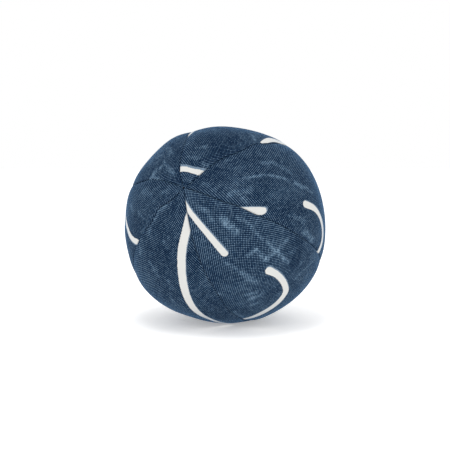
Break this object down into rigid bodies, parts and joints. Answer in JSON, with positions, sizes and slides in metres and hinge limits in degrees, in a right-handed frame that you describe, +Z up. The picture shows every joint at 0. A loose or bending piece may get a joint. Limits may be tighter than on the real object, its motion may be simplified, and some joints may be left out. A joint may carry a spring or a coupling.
{
  "type": "juggling ball",
  "caption": "Round sewn fabric juggling ball filled with grain, its cover cut in gores that meet at two poles, standing on a slightly flattened spot.",
  "frame": {"origin": "centre of the flattened spot that the ball stands on", "axes": "+Z up, -Y towards the front, where the front pole of the gores is seen up and to the left"},
  "size_m": [0.07, 0.07, 0.0687],
  "materials": {
    "cover_cloth": "plain-weave linen and cotton, printed navy with off-white brush strokes",
    "machine_thread": "navy spun polyester sewing thread",
    "hand_thread": "navy buttonhole thread",
    "millet": "dry hulled millet seed"
  },
  "bodies": {
    "root": {"bobbin_thread_closing_seam": "machine_thread", "bobbin_thread_panels_1_2": "machine_thread", "bobbin_thread_panels_2_3": "machine_thread", "bobbin_thread_panels_4_5": "machine_thread", "bobbin_thread_panels_5_6": "machine_thread", "cover_panel_1": "cover_cloth", "cover_panel_2": "cover_cloth", "cover_panel_3": "cover_cloth", "cover_panel_4": "cover_cloth", "cover_panel_5": "cover_cloth", "cover_panel_6": "cover_cloth", "hand_stitch_closing": "hand_thread", "millet_filling": "millet", "needle_thread_closing_seam": "machine_thread", "needle_thread_panels_1_2": "machine_thread", "needle_thread_panels_2_3": "machine_thread", "needle_thread_panels_4_5": "machine_thread", "needle_thread_panels_5_6": "machine_thread"}
  },
  "joints": []
}
